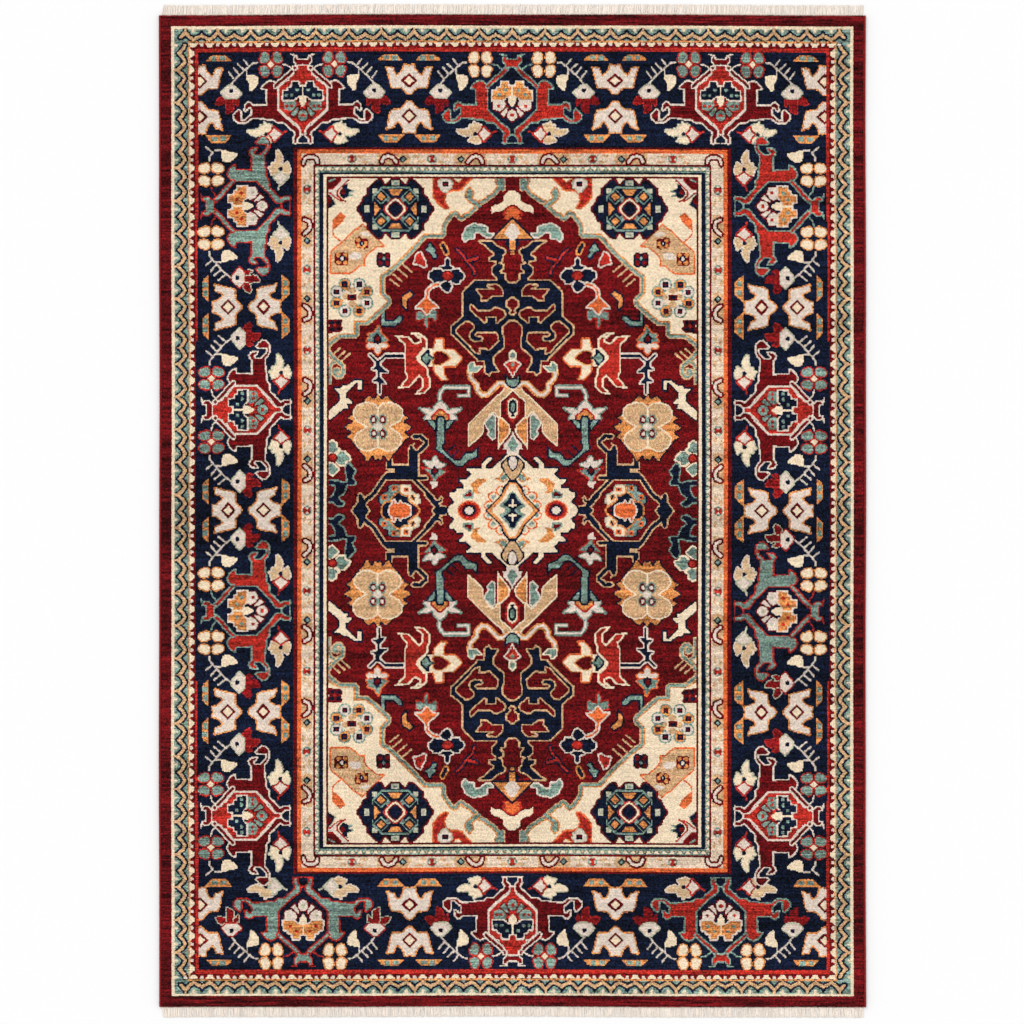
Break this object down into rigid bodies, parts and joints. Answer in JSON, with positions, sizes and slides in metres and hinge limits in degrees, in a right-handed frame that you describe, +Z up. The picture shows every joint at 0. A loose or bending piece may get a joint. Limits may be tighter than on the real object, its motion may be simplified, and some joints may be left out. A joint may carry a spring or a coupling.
{
  "type": "area rug",
  "caption": "Flat rectangular cut-pile rug with a medallion field, patterned borders, overcast long sides and short fringed ends.",
  "frame": {"origin": "middle of the rug's underside", "axes": "+Z up out of the pile, +Y along the rug's length, +X across its width"},
  "size_m": [1.6, 2.294, 0.011],
  "materials": {
    "ground_weave": "plain woven cotton and jute, matt, ribbed along the wefts",
    "pile_dark_red": "cut pile yarn, dark red with darker and lighter streaks",
    "pile_guard": "cut pile yarn, cream, grey-green, navy, tan and red figures",
    "pile_navy": "cut pile yarn, navy ground with many-coloured figures",
    "pile_field": "cut pile yarn, dark red field with cream corners and many-coloured figures",
    "overcast_yarn": "plied dark red yarn wound tightly side by side",
    "warp_cord": "twisted undyed cotton",
    "end_yarn": "undyed cotton, plain woven or twisted, matt"
  },
  "bodies": {
    "root": {"foundation_weave": "ground_weave", "pile_edge_band": "pile_dark_red", "pile_outer_guard": "pile_guard", "pile_main_border": "pile_navy", "pile_field": "pile_field", "selvedge_cord_left": "warp_cord", "selvedge_cord_right": "warp_cord", "selvedge_wrap_left": "overcast_yarn", "selvedge_wrap_right": "overcast_yarn", "end_web_top": "end_yarn", "end_web_bottom": "end_yarn", "end_stitch_top": "end_yarn", "end_stitch_bottom": "end_yarn", "fringe_top": "end_yarn", "fringe_bottom": "end_yarn"}
  },
  "joints": []
}
